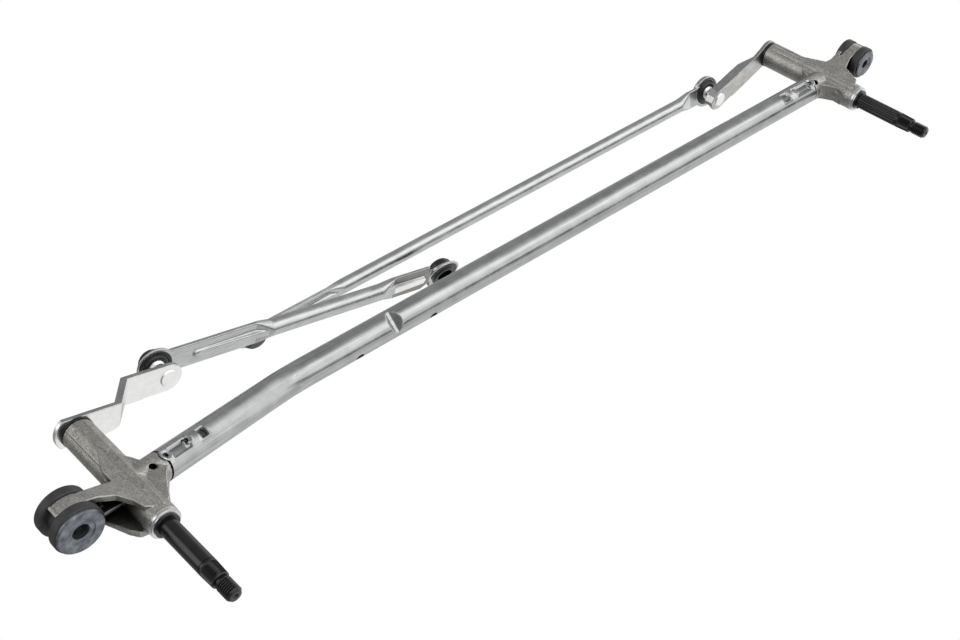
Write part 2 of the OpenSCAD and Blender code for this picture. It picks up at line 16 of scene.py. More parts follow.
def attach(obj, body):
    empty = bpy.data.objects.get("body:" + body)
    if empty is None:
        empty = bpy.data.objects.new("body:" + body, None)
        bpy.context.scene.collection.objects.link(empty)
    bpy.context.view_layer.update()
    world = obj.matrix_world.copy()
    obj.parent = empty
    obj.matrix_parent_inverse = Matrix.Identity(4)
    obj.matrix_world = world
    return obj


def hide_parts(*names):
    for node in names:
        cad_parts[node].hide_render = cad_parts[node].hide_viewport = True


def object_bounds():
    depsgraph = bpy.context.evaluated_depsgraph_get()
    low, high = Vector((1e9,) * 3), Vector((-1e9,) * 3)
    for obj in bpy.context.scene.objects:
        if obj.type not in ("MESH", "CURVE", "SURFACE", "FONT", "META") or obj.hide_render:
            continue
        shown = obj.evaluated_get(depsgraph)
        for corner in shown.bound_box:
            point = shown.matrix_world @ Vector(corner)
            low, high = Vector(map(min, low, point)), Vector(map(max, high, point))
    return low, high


MM = 0.001

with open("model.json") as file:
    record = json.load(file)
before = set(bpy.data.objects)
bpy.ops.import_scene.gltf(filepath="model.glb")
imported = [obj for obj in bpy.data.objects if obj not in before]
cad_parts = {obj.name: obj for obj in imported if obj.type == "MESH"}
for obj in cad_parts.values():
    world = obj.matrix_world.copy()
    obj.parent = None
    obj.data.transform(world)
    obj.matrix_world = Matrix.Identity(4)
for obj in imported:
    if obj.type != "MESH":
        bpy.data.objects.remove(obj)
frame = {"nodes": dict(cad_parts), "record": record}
nodes = frame["nodes"]
cad_box = [list(corner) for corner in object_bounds()]

# Layout shared with the part's source, in millimetres and degrees.
LEFT_EAR = (39.3, 7.4)
RIGHT_EAR = (34.0, 11.0)
SHIFT = Vector((LEFT_EAR[0], -LEFT_EAR[1], -58.75))
PITCH = 667.6
TUBE_LEFT = np.array((0.0, 0.0, 54.6))
TUBE_RIGHT = np.array((PITCH, 0.0, 54.6))
TUBE_CORNER = np.array((138.5, -35.0, 16.4))
BEND_RADIUS = 75.0
TUBE_R = 10.0
TUBE_WALL = 1.5
LEFT_START = 24.0
RIGHT_START = 19.5
DENT_AT = 81.5
DENT_DEPTH = 4.0
DENT_FLAT = 2.2
HOLE_GAP = 62.0
LEFT_LEVER_ANGLE = 13.9
LEFT_LEVER_LEN = 76.0
LEFT_BALL_Z = -36.6
RIGHT_LEVER_ANGLE = 18.9
RIGHT_LEVER_LEN = 64.0
RIGHT_BALL_Z = -17.6
SHORT_LEN = 234.6
SHORT_TWIST = 20.0
SHORT_YAW, SHORT_PITCH, SHORT_ROLL = 8.75, -5.0, 1.4
LONG_LEN = 446.0
LONG_TWIST = 24.6
LONG_YAW, LONG_PITCH, LONG_ROLL = 5.9, 5.9, 8.6
LEFT_FIX = (0.0, 0.0, 0.0)
RIGHT_FIX = ((LEFT_EAR[0] + PITCH + RIGHT_EAR[0]) * MM, (RIGHT_EAR[1] - LEFT_EAR[1]) * MM, 0.0)

# Directions round the tube of its seam, dent, bracket holes and end marks.
SEAM_DIR = (0, 0.42, 0.90)
DENT_DIR = (0, 0.77, 0.64)
HOLE_DIR = (0, -0.43, 0.90)
STAKE_DIR = (0, 0.96, 0.28)
HOLE_R = 3.2
SEAM_DEPTH = 0.05
DENT_FRONT_SLOPE = math.tan(math.radians(38))
DENT_BACK_SLOPE = 1.1
DENT_SOFT = 0.35

# End marks, by distance along the tube from its end and distance round it from STAKE_DIR.
STAKE_ZONE = 44.0
STAKE_HOLES = ((2.3, -0.4), (20.4, -1.3))
STAKE_HOLE_R = 1.75
PANEL = (5.9, 20.4)
PANEL_SIDE = 0.8
PANEL_HALF = 3.2
WINDOW = (30.3, 35.9)
WINDOW_SIDE = 0.7
WINDOW_HALF = 3.0
SLIT = 1.6
TAB = 2.2
TAB_R = 4.4
END_TRIM = 1.2

# Steps of the tube's skin, and points round it.
STEP = 2.5
BEND_STEP = 1.2
FINE_STEP = 0.5
SPOKES = 144


def to_part():
    """From the spindle layout in millimetres to the part's frame in metres."""
    return Matrix.Scale(MM, 4) @ Matrix.Translation(SHIFT)


def turn(degrees, axis):
    return Matrix.Rotation(math.radians(degrees), 4, axis)


def short_link_place():
    place = to_part() @ turn(-LEFT_LEVER_ANGLE, "Z") @ Matrix.Translation((LEFT_LEVER_LEN, 0, LEFT_BALL_Z))
    return place @ turn(LEFT_LEVER_ANGLE - SHORT_YAW, "Z") @ turn(SHORT_PITCH, "Y") @ turn(SHORT_ROLL, "X")


def long_link_place():
    place = to_part() @ Matrix.Translation((PITCH, 0, 0)) @ turn(180 + RIGHT_LEVER_ANGLE, "Z")
    place = place @ Matrix.Translation((RIGHT_LEVER_LEN, 0, RIGHT_BALL_Z))
    return place @ turn(LONG_YAW - RIGHT_LEVER_ANGLE, "Z") @ turn(LONG_PITCH, "Y") @ turn(LONG_ROLL, "X")


# Camera, fitted to the photograph.
def add_camera():
    data = bpy.data.cameras.new("camera")
    data.sensor_width = 36.0
    data.lens = 49.394
    data.clip_start = 0.01
    data.clip_end = 100.0
    cam = bpy.data.objects.new("camera", data)
    right = Vector((0.72089976, 0.047458, 0.691412521))
    up = Vector((0.437751874, 0.742259946, -0.507369165))
    back = Vector((-0.537286547, 0.668429436, 0.514320188))
    rotation = Matrix((right, up, back)).transposed().to_4x4()
    cam.matrix_world = Matrix.Translation((-0.17491, 0.56468, 0.46346)) @ rotation
    bpy.context.scene.collection.objects.link(cam)
    bpy.context.scene.camera = cam


add_camera()


# Materials.
def new_material(name):
    mat = bpy.data.materials.new(name)
    mat.use_nodes = True
    tree = mat.node_tree
    shader = tree.nodes["Principled BSDF"]
    coords = tree.nodes.new("ShaderNodeTexCoord")
    return mat, tree, shader, coords.outputs["Object"]


def stretched(tree, coords, scale):
    node = tree.nodes.new("ShaderNodeMapping")
    node.inputs["Scale"].default_value = scale
    tree.links.new(coords, node.inputs["Vector"])
    return node.outputs["Vector"]


def noise(tree, vector, scale, detail=4.0, roughness=0.55):
    node = tree.nodes.new("ShaderNodeTexNoise")
    node.inputs["Scale"].default_value = scale
    node.inputs["Detail"].default_value = detail
    node.inputs["Roughness"].default_value = roughness
    tree.links.new(vector, node.inputs["Vector"])
    return node.outputs["Fac"]


def spread(tree, value, low, high, out_low, out_high):
    node = tree.nodes.new("ShaderNodeMapRange")
    node.inputs["From Min"].default_value = low
    node.inputs["From Max"].default_value = high
    node.inputs["To Min"].default_value = out_low
    node.inputs["To Max"].default_value = out_high
    tree.links.new(value, node.inputs["Value"])
    return node.outputs["Result"]


def ramp(tree, value, stops):
    node = tree.nodes.new("ShaderNodeValToRGB")
    elements = node.color_ramp.elements
    while len(elements) < len(stops):
        elements.new(0.5)
    for element, (place, colour) in zip(elements, stops):
        element.position = place
        element.color = (*colour, 1.0)
    tree.links.new(value, node.inputs["Fac"])
    return node.outputs["Color"]


def mix_colour(tree, amount, a, b, blend="MIX"):
    node = tree.nodes.new("ShaderNodeMix")
    node.data_type = "RGBA"
    node.blend_type = blend
    for index, value in ((0, amount), (6, a), (7, b)):
        socket = node.inputs[index]
        if isinstance(value, bpy.types.NodeSocket):
            tree.links.new(value, socket)
        elif index == 0:
            socket.default_value = value
        else:
            socket.default_value = (*value, 1.0)
    return node.outputs[2]


def bump(tree, height, strength, distance, before=None):
    node = tree.nodes.new("ShaderNodeBump")
    node.inputs["Strength"].default_value = strength
    node.inputs["Distance"].default_value = distance
    tree.links.new(height, node.inputs["Height"])
    if before is not None:
        tree.links.new(before, node.inputs["Normal"])
    return node.outputs["Normal"]


def plated_steel(name, dark, light, rough, streak=0.35, along=(30.0, 900.0, 900.0), drawn=(1, 0, 0)):
    """Zinc-coated steel: cloudy colour, streaks along the direction it was drawn in and a fine grain."""
    mat, tree, shader, coords = new_material(name)
    aligned = tree.nodes.new("ShaderNodeMapping")
    to_x = Vector(drawn).rotation_difference(Vector((1, 0, 0)))
    aligned.inputs["Rotation"].default_value = to_x.to_euler()
    tree.links.new(coords, aligned.inputs["Vector"])
    shader.inputs["Metallic"].default_value = 1.0
    clouds = noise(tree, coords, 90.0, 5.0, 0.6)
    streaks = noise(tree, stretched(tree, aligned.outputs["Vector"], along), 1.0, 3.0)
    grain = noise(tree, coords, 2600.0, 2.0)
    colour = ramp(tree, clouds, ((0.3, dark), (0.7, light)))
    lines = ramp(tree, streaks, ((0.3, (1 - streak, 1 - streak, 1 - streak)), (0.65, (1.0, 1.0, 1.0))))
    colour = mix_colour(tree, 0.55, colour, lines, "MULTIPLY")
    tree.links.new(colour, shader.inputs["Base Color"])
    tree.links.new(spread(tree, clouds, 0.3, 0.7, rough - 0.06, rough + 0.08), shader.inputs["Roughness"])
    normal = bump(tree, streaks, 0.25, 0.00012)
    normal = bump(tree, grain, 0.25, 0.00005, normal)
    tree.links.new(normal, shader.inputs["Normal"])
    return mat


def cast_metal(name):
    """Die-cast light alloy: warm grey, sandy grain, painted highlights on sharp edges and painted shade in
    creases and sheltered corners.
    """
    mat, tree, shader, coords = new_material(name)
    shader.inputs["Metallic"].default_value = 0.95
    broad = noise(tree, coords, 120.0, 6.0, 0.65)
    sand = noise(tree, coords, 900.0, 6.0, 0.85)
    colour = ramp(tree, broad, ((0.25, (0.37, 0.36, 0.335)), (0.75, (0.57, 0.56, 0.525))))
    stops = ((0.36, (0.40, 0.40, 0.40)), (0.52, (0.86, 0.86, 0.86)), (0.66, (1.35, 1.35, 1.33)))
    speck = ramp(tree, sand, stops)
    colour = mix_colour(tree, 0.95, colour, speck, "MULTIPLY")
    geometry = tree.nodes.new("ShaderNodeNewGeometry")
    # Painted highlight: sharp edges are lightened towards a pale grey.
    edge = spread(tree, geometry.outputs["Pointiness"], 0.515, 0.56, 0.0, 0.75)
    colour = mix_colour(tree, edge, colour, (0.62, 0.61, 0.58))
    # Painted shade: concave creases are darkened towards near black.
    crease_shade = spread(tree, geometry.outputs["Pointiness"], 0.485, 0.45, 0.0, 0.6)
    colour = mix_colour(tree, crease_shade, colour, (0.10, 0.10, 0.095))
    # Painted shade: ambient occlusion darkens pockets and corners near other surfaces.
    shelter = tree.nodes.new("ShaderNodeAmbientOcclusion")
    shelter.inputs["Distance"].default_value = 0.035
    shelter.samples = 8
    stops = ((0.3, (0.10, 0.10, 0.11)), (0.55, (0.42, 0.42, 0.42)), (0.9, (1.0, 1.0, 1.0)))
    corner_shade = ramp(tree, shelter.outputs["AO"], stops)
    colour = mix_colour(tree, 1.0, colour, corner_shade, "MULTIPLY")
    tree.links.new(colour, shader.inputs["Base Color"])
    tree.links.new(spread(tree, sand, 0.3, 0.7, 0.30, 0.46), shader.inputs["Roughness"])
    normal = bump(tree, sand, 0.7, 0.0003)
    normal = bump(tree, broad, 0.4, 0.0006, normal)
    tree.links.new(normal, shader.inputs["Normal"])
    return mat


def black_steel(name):
    """Blackened shaft steel with a bluish sheen, pale scuffs and turning marks along the spindle."""
    mat, tree, shader, coords = new_material(name)
    shader.inputs["Specular IOR Level"].default_value = 0.5
    broad = noise(tree, coords, 160.0, 5.0, 0.6)
    colour = ramp(tree, broad, ((0.35, (0.002, 0.002, 0.002)), (0.7, (0.007, 0.007, 0.009))))
    flecks = noise(tree, stretched(tree, coords, (1400.0, 1400.0, 700.0)), 1.0, 4.0, 0.75)
    fleck = ramp(tree, flecks, ((0.68, (0.0, 0.0, 0.0)), (0.76, (1.0, 1.0, 1.0))))
    colour = mix_colour(tree, fleck, colour, (0.11, 0.11, 0.12))
    tree.links.new(colour, shader.inputs["Base Color"])
    tree.links.new(spread(tree, broad, 0.3, 0.7, 0.16, 0.28), shader.inputs["Roughness"])
    rings = noise(tree, stretched(tree, coords, (60.0, 60.0, 5000.0)), 1.0, 2.0)
    normal = bump(tree, rings, 0.2, 0.00004)
    tree.links.new(normal, shader.inputs["Normal"])
    return mat


def turned_steel(name, centres):
    """Sleeve steel with rings left by turning about each sleeve's own axis."""
    mat, tree, shader, coords = new_material(name)
    shader.inputs["Metallic"].default_value = 0.9
    split = tree.nodes.new("ShaderNodeSeparateXYZ")
    tree.links.new(coords, split.inputs["Vector"])
    side = tree.nodes.new("ShaderNodeMath")
    side.operation = "GREATER_THAN"
    side.inputs[1].default_value = 0.3
    tree.links.new(split.outputs["X"], side.inputs[0])
    centre = mix_colour(tree, side.outputs["Value"], centres[0], centres[1])
    flat = tree.nodes.new("ShaderNodeCombineXYZ")
    tree.links.new(split.outputs["X"], flat.inputs["X"])
    tree.links.new(split.outputs["Y"], flat.inputs["Y"])
    away = tree.nodes.new("ShaderNodeVectorMath")
    away.operation = "DISTANCE"
    tree.links.new(flat.outputs["Vector"], away.inputs[0])
    tree.links.new(centre, away.inputs[1])
    far = tree.nodes.new("ShaderNodeCombineXYZ")
    tree.links.new(away.outputs["Value"], far.inputs["X"])
    rings = noise(tree, far.outputs["Vector"], 1500.0, 4.0, 0.7)
    broad = noise(tree, coords, 220.0, 4.0)
    colour = ramp(tree, rings, ((0.3, (0.11, 0.12, 0.14)), (0.7, (0.26, 0.28, 0.32))))
    stops = ((0.32, (0.42, 0.43, 0.46)), (0.5, (0.85, 0.83, 0.78)), (0.68, (1.3, 1.3, 1.25)))
    cloud = ramp(tree, broad, stops)
    colour = mix_colour(tree, 0.9, colour, cloud, "MULTIPLY")
    tree.links.new(colour, shader.inputs["Base Color"])
    tree.links.new(spread(tree, rings, 0.3, 0.7, 0.34, 0.5), shader.inputs["Roughness"])
    normal = bump(tree, rings, 0.5, 0.0001)
    tree.links.new(normal, shader.inputs["Normal"])
    return mat


def dull_black(name, dark, light, rough, bump_scale, bump_depth):
    """Rubber and moulded plastic: faint bloom in the colour, moulded grain in the surface."""
    mat, tree, shader, coords = new_material(name)
    bloom = noise(tree, coords, 140.0, 5.0, 0.6)
    grain = noise(tree, coords, bump_scale, 3.0, 0.6)
    colour = ramp(tree, bloom, ((0.35, dark), (0.7, light)))
    tree.links.new(colour, shader.inputs["Base Color"])
    tree.links.new(spread(tree, grain, 0.3, 0.7, rough - 0.06, rough + 0.1), shader.inputs["Roughness"])
    normal = bump(tree, grain, 0.35, bump_depth)
    tree.links.new(normal, shader.inputs["Normal"])
    return mat


GALVANISED = ((0.38, 0.39, 0.39), (0.50, 0.51, 0.50), 0.22, 0.5, (12.0, 700.0, 700.0))
looks = {
    "galvanised": plated_steel("galvanised_look", *GALVANISED, TUBE_RIGHT - TUBE_CORNER),
    "galvanised_left": plated_steel("galvanised_left_look", *GALVANISED, TUBE_CORNER - TUBE_LEFT),
    "link": plated_steel("link_look", (0.46, 0.47, 0.47), (0.58, 0.59, 0.58), 0.27),
    "link_flat": plated_steel("link_flat_look", (0.22, 0.215, 0.20), (0.33, 0.325, 0.31), 0.34),
    # Painted shade for the sunk floors of the pressed panels and tongues at the tube ends.
    "sunk_floor_shade": plated_steel("pressed_floor_look", (0.14, 0.15, 0.15), (0.22, 0.23, 0.23), 0.36),
    # Painted shade: near black for the tube's inner wall and the rims of its holes and ends.
    "tube_inside_shade": dull_black("tube_inside_look", (0.012, 0.012, 0.012), (0.03, 0.03, 0.03),
                              0.6, 900.0, 0.0001),
    "zinc_dull": plated_steel("zinc_dull_look", (0.36, 0.355, 0.335), (0.62, 0.61, 0.58),
                              0.36, 0.4, (40.0, 250.0, 250.0)),
    "zinc_plate": plated_steel("zinc_plate_look", (0.80, 0.80, 0.78), (0.90, 0.90, 0.88),
                               0.31, 0.12, (250.0, 250.0, 250.0)),
    "washer_steel": plated_steel("washer_look", (0.56, 0.57, 0.57), (0.70, 0.70, 0.70),
                                 0.26, 0.12, (300.0, 300.0, 300.0)),
    "casting": cast_metal("casting_look"),
    "black_shaft": black_steel("black_shaft_look"),
    "sleeve_steel": turned_steel("sleeve_look", (LEFT_FIX, RIGHT_FIX)),
    "rubber": dull_black("rubber_look", (0.020, 0.020, 0.020), (0.044, 0.044, 0.043),
                         0.55, 1800.0, 0.00012),
    "black_plastic": dull_black("plastic_look", (0.003, 0.003, 0.003), (0.009, 0.009, 0.009),
                                0.36, 2500.0, 0.00003),
}
slot_of = {}
for row in frame["record"]["materials"]:
    for node in row.get("nodes", []):
        slot_of[node] = row["slot"]
for name, obj in nodes.items():
    slot_name = slot_of.get(name) or obj.data.materials[0].name
    slot_of[name] = slot_name
    obj.data.materials.clear()
    obj.data.materials.append(looks[slot_name])


# Mesh helpers.
def add_piece(name, mesh, body, slot, *stands_for, look=None):
    obj = bpy.data.objects.new(name, mesh)
    bpy.context.scene.collection.objects.link(obj)
    mesh.materials.clear()
    mesh.materials.append(looks[look or slot])
    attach(obj, body)
    if stands_for:
        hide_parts(*stands_for)


def shade(mesh, degrees=40.0):
    """Smooth faces with sharp edges where the faces meet at more than that angle."""
    work = bmesh.new()
    work.from_mesh(mesh)
    bmesh.ops.recalc_face_normals(work, faces=work.faces)
    limit = math.radians(degrees)
    for face in work.faces:
        face.smooth = True
    for edge in work.edges:
        edge.smooth = len(edge.link_faces) == 2 and edge.calc_face_angle(0.0) < limit
    work.to_mesh(mesh)
    work.free()


BLOCK_FACES = [(0, 1, 3, 2), (4, 6, 7, 5), (0, 4, 5, 1), (2, 3, 7, 6), (0, 2, 6, 4), (1, 5, 7, 3)]
BEAD_NOSE = 2.0
BEAD_FLANK = 1.1


def wedge(low, high, left_top, right_top):
    """Points and faces of a block in millimetres whose top slopes from its left side to its right."""
    points = []
    for x, top in ((low[0], left_top), (high[0], right_top)):
        for y in (low[1], high[1]):
            points += [(x, y, low[2]), (x, y, top)]
    return points, BLOCK_FACES


def prism(outline, low, high):
    """Points and faces of an outline in millimetres, listed clockwise, raised from low to high."""
    count = len(outline)
    points = [(x, y, z) for z in (low, high) for x, y in outline]
    faces = [tuple(range(count)), tuple(reversed(range(count, 2 * count)))]
    faces += [(i, i + count, (i + 1) % count + count, (i + 1) % count) for i in range(count)]
    return points, faces


def bead_bar(start, end, half, low, high):
    """Points and faces of the bead on a flattened link end, rising towards the tube, in millimetres."""
    points = []
    for x, tip, top in ((start, start + BEAD_NOSE, low), (end, end, high)):
        for side in (-1, 1):
            points += [(x, half * side, 0.0), (tip, (half - BEAD_FLANK) * side, top)]
    return points, BLOCK_FACES


def softened(node, name, voxel, rounds, place=None, shapes=()):
    """A copy of a node with rounded edges: shapes cut off or added, a fine grid, then smoothing."""
    mesh = nodes[node].data.copy()
    if place is not None:
        mesh.transform(place.inverted())
    else:
        mesh.transform(Matrix.Scale(1 / MM, 4))
    obj = bpy.data.objects.new(name + "_work", mesh)
    bpy.context.scene.collection.objects.link(obj)
    blocks = []
    for operation, (points, faces), spot in shapes:
        block = bpy.data.meshes.new(name + "_block")
        block.from_pydata(points, [], faces)
        block.transform(spot)
        shade(block, 1.0)
        blocks.append(bpy.data.objects.new(name + "_block", block))
        bpy.context.scene.collection.objects.link(blocks[-1])
        change = obj.modifiers.new("change", "BOOLEAN")
        change.operation = operation
        change.solver = "EXACT"
        change.object = blocks[-1]
    remesh = obj.modifiers.new("grid", "REMESH")
    remesh.mode = "VOXEL"
    remesh.voxel_size = voxel
    remesh.adaptivity = 0.0
    smooth = obj.modifiers.new("round", "SMOOTH")
    smooth.factor = 0.5
    smooth.iterations = rounds
    bpy.context.view_layer.update()
    depsgraph = bpy.context.evaluated_depsgraph_get()
    made = bpy.data.meshes.new_from_object(obj.evaluated_get(depsgraph))
    for spare in [obj, *blocks]:
        bpy.data.objects.remove(spare)
    made.transform(place if place is not None else Matrix.Scale(MM, 4))
    made.name = name
    made.polygons.foreach_set("use_smooth", [True] * len(made.polygons))
    return made


def surface(name, rings):
    """A closed skin through rings of points, each ring a list of Vectors in metres."""
    count = len(rings[0])
    mesh = bpy.data.meshes.new(name)
    points = [p for ring in rings for p in ring]
    faces = []
    for i in range(len(rings) - 1):
        for j in range(count):
            k = (j + 1) % count
            faces.append((i * count + j, i * count + k, (i + 1) * count + k, (i + 1) * count + j))
    faces.append(tuple(reversed(range(count))))
    faces.append(tuple(range((len(rings) - 1) * count, len(rings) * count)))
    mesh.from_pydata(points, [], faces)
    mesh.validate()
    return mesh


def lathe(name, profile, place, segments, degrees):
    """Revolves (radius, height) points in millimetres about the local Z axis."""
    rings = []
    for radius, height in profile:
        ring = []
        for j in range(segments):
            a = 2 * math.pi * j / segments
            ring.append(place @ Vector((radius * math.cos(a), radius * math.sin(a), height)))
        rings.append(ring)
    mesh = surface(name, rings)
    shade(mesh, degrees)
    return mesh


# Frame tube: a skin with the bend, the pressed dent, the weld seam and the stake marks in its shape.
def unit(v):
    return v / np.linalg.norm(v)


def square_to(v, d):
    v = np.array(v, float)
    return unit(v - d * (v @ d))


LEFT_DIR = unit(TUBE_CORNER - TUBE_LEFT)
RIGHT_DIR = unit(TUBE_RIGHT - TUBE_CORNER)
BEND_ANGLE = math.acos(LEFT_DIR @ RIGHT_DIR)
BEND_TANGENT = BEND_RADIUS * math.tan(BEND_ANGLE / 2)
LEFT_LEN = np.linalg.norm(TUBE_CORNER - TUBE_LEFT) - BEND_TANGENT - LEFT_START
ARC_LEN = BEND_RADIUS * BEND_ANGLE
RIGHT_LEN = np.linalg.norm(TUBE_RIGHT - TUBE_CORNER) - BEND_TANGENT - RIGHT_START
TUBE_LEN = LEFT_LEN + ARC_LEN + RIGHT_LEN
SIDE = unit(np.cross(LEFT_DIR, RIGHT_DIR))


def tube_at(s):
    """Point and direction of the tube's axis at distance s from its left end."""
    if s <= LEFT_LEN:
        return TUBE_LEFT + LEFT_DIR * (LEFT_START + s), LEFT_DIR
    if s >= LEFT_LEN + ARC_LEN:
        return TUBE_CORNER + RIGHT_DIR * (BEND_TANGENT + s - LEFT_LEN - ARC_LEN), RIGHT_DIR
    a = (s - LEFT_LEN) / BEND_RADIUS
    inward = unit(np.cross(SIDE, LEFT_DIR))
    start = TUBE_LEFT + LEFT_DIR * (LEFT_START + LEFT_LEN)
    point = start + LEFT_DIR * BEND_RADIUS * math.sin(a) + inward * BEND_RADIUS * (1 - math.cos(a))
    return point, LEFT_DIR * math.cos(a) + inward * math.sin(a)


def tube_stations():
    """Distances along the tube of the rings of its skin, and the distance of the dent."""
    corner_s = LEFT_LEN + ARC_LEN / 2
    dent_s = LEFT_LEN + ARC_LEN + DENT_AT - BEND_TANGENT
    fine = [(-TAB, STAKE_ZONE), (TUBE_LEN - STAKE_ZONE, TUBE_LEN + TAB), (dent_s - 6.0, dent_s + 12.0)]
    fine += [(dent_s + side * HOLE_GAP / 2 - 5.0, dent_s + side * HOLE_GAP / 2 + 5.0) for side in (-1, 1)]
    stations = [-TAB]
    while stations[-1] < TUBE_LEN + TAB - 1e-6:
        s = stations[-1]
        step = STEP
        if any(low - 1e-6 <= s < high for low, high in fine):
            step = FINE_STEP
        elif abs(s - corner_s) < 30.0:
            step = BEND_STEP
        for low, high in fine:
            if s < low - 1e-6 < s + step:
                step = low - s
        stations.append(min(s + step, TUBE_LEN + TAB))
    return stations, dent_s


def ease(x):
    """0 below 0, 1 above 1 and a smooth rise between them."""
    x = np.clip(x, 0.0, 1.0)
    return x * x * (3 - 2 * x)


def box_edge(along, across, reach, side, half):
    """Distance outside a box on the tube's skin, below 0 inside it."""
    return np.maximum(np.maximum(reach[0] - along, along - reach[1]), np.abs(across - side) - half)


def stake_press(along, across):
    """Depth of the marks pressed at a tube end: dimpled holes, a long panel between them, a tongue."""
    depth = np.zeros_like(across)
    for at, side in STAKE_HOLES:
        away = np.hypot(along - at, across - side)
        depth += 0.7 * (1 - ease((away - 1.6) / 1.7))
        depth -= 0.40 * np.exp(-(((away - 3.7) / 0.6) ** 2))
    edge = box_edge(along, across, PANEL, PANEL_SIDE, PANEL_HALF)
    depth += 1.35 * (1 - ease((edge + 0.3) / 1.0))
    depth -= 0.36 * np.exp(-(((edge - 1.1) / 0.5) ** 2))
    edge = box_edge(along, across, WINDOW, WINDOW_SIDE, WINDOW_HALF)
    depth -= 0.8 * np.exp(-(((edge - 1.0) / 0.7) ** 2))
    depth += (0.7 + 0.35 * max(0.0, along - WINDOW[0])) * (1 - ease((edge + 0.3) / 0.6))
    depth -= 0.55 * (1 - ease((along + 0.3) / 1.6))
    return depth


def stake_across(spokes, direction):
    """Distance round the tube from the line of the stake marks, towards the front when it is above 0."""
    middle = square_to(STAKE_DIR, direction)
    round_by = TUBE_R * np.arccos(np.clip(spokes @ middle, -1, 1))
    return round_by * np.sign(spokes @ np.cross(direction, middle))


def tube_mesh():
    """The tube's skin, and for each face its look: 0 drawn, 1 inside with painted shade, 2 sunk floor with
    painted shade, 3 left of the bend.
    """
    count = SPOKES
    stations, dent_s = tube_stations()
    seam = square_to(SEAM_DIR, RIGHT_DIR)
    inward_right = unit(np.cross(SIDE, RIGHT_DIR))
    seam_angle = math.atan2(seam @ SIDE, seam @ inward_right)
    angles = seam_angle + 2 * math.pi * np.arange(count) / count
    dent_n = square_to(DENT_DIR, RIGHT_DIR)
    hole_n = square_to(HOLE_DIR, RIGHT_DIR)
    outer = []
    inner = []
    for s in stations:
        point, direction = tube_at(s)
        inward = unit(np.cross(SIDE, direction))
        spokes = np.cos(angles)[:, None] * inward + np.sin(angles)[:, None] * SIDE
        radius = np.full(count, TUBE_R)
        along = min(s, TUBE_LEN - s)
        if along < STAKE_ZONE:
            radius = radius - stake_press(along, stake_across(spokes, direction))
        else:
            radius[0] -= SEAM_DEPTH
        ring = spokes * radius[:, None]
        reach = s - dent_s
        if -6.0 < reach < 20.0:
            slope = DENT_FRONT_SLOPE if reach > 0 else DENT_BACK_SLOPE
            rise = slope * max(0.0, abs(reach) - DENT_FLAT / 2)
            floor = TUBE_R - DENT_DEPTH + rise
            height = ring @ dent_n
            over = height - floor
            drop = np.where(over > -4, 0.5 * (over + np.sqrt(over * over + DENT_SOFT * DENT_SOFT)), 0.0)
            ring = ring - np.outer(drop, dent_n)
        outer.append([Vector(p) for p in point + ring])
        inner.append([Vector(p) for p in point + ring - spokes * TUBE_WALL])
    mesh = bpy.data.meshes.new("tube_skin")
    rows = len(stations)
    points = [p for ring in outer + inner for p in ring]
    size = rows * count
    axes = np.array([tube_at(s)[1] for s in stations])

    def middle(i, j):
        """Distance along the tube, spoke and axis at the middle of face i, j."""
        direction = axes[i]
        inward = unit(np.cross(SIDE, direction))
        a = angles[j] + math.pi / count
        return (stations[i] + stations[i + 1]) / 2, math.cos(a) * inward + math.sin(a) * SIDE, direction

    def on_panel(i, j):
        """True on the sunk floor of the panel and of the tongue at a tube end, which takes painted shade.
        """
        s, spoke, direction = middle(i, j)
        along = min(s, TUBE_LEN - s)
        if along > WINDOW[1]:
            return False
        across = stake_across(spoke, direction)
        if abs(across - PANEL_SIDE) >= PANEL_HALF - 0.3:
            return False
        return PANEL[0] + 0.5 < along < PANEL[1] - 3.0 or along > WINDOW[0] + 0.4

    def opened(i, j):
        """True where the skin is pierced at the middle of face i, j."""
        s, spoke, direction = middle(i, j)
        along = min(s, TUBE_LEN - s)
        if along < STAKE_ZONE:
            across = stake_across(spoke, direction)
            away = [math.hypot(along - at, across - side) for at, side in STAKE_HOLES]
            if min(away) < STAKE_HOLE_R or (along < END_TRIM and away[0] > TAB_R):
                return True
            return WINDOW[1] - SLIT < along < WINDOW[1] and abs(across - WINDOW_SIDE) < WINDOW_HALF
        across = TUBE_R * math.acos(max(-1.0, min(1.0, spoke @ hole_n)))
        return any(math.hypot(s - dent_s - side * HOLE_GAP / 2, across) < HOLE_R for side in (-1, 1))

    faces = []
    open_faces = set()
    shaded_floor_faces = []
    for i in range(rows - 1):
        for j in range(count):
            if opened(i, j):
                open_faces.add((i, j))
    for i in range(rows - 1):
        for j in range(count):
            k = (j + 1) % count
            if (i, j) in open_faces:
                continue
            a, b, c, d = i * count + j, i * count + k, (i + 1) * count + k, (i + 1) * count + j
            if on_panel(i, j):
                shaded_floor_faces.append(len(faces))
            faces.append((a, b, c, d))
            faces.append((size + d, size + c, size + b, size + a))
            if ((i - 1, j) in open_faces) or i == 0:
                faces.append((a, size + a, size + b, b))
            if ((i + 1, j) in open_faces) or i == rows - 2:
                faces.append((c, size + c, size + d, d))
            if (i, (j - 1) % count) in open_faces:
                faces.append((d, size + d, size + a, a))
            if (i, k) in open_faces:
                faces.append((b, size + b, size + c, c))
    mesh.from_pydata(points, [], faces)
    # Faces on the inner wall and on the rims of holes and ends take the near-black painted shade.
    kinds = np.array([max(face) >= size for face in faces], dtype=np.int32)
    kinds[shaded_floor_faces] = 2
    left_points = sum(s < LEFT_LEN + ARC_LEN / 2 for s in stations) * count
    kinds[[n for n, face in enumerate(faces) if kinds[n] == 0 and max(face) < left_points]] = 3
    mesh.transform(to_part())
    shade(mesh, 38.0)
    return mesh, kinds


skin, skin_kinds = tube_mesh()
add_piece("tube_skin", skin, "frame", "galvanised", "main_tube")
skin.materials.append(looks["tube_inside_shade"])
skin.materials.append(looks["sunk_floor_shade"])
skin.materials.append(looks["galvanised_left"])
skin.polygons.foreach_set("material_index", skin_kinds)

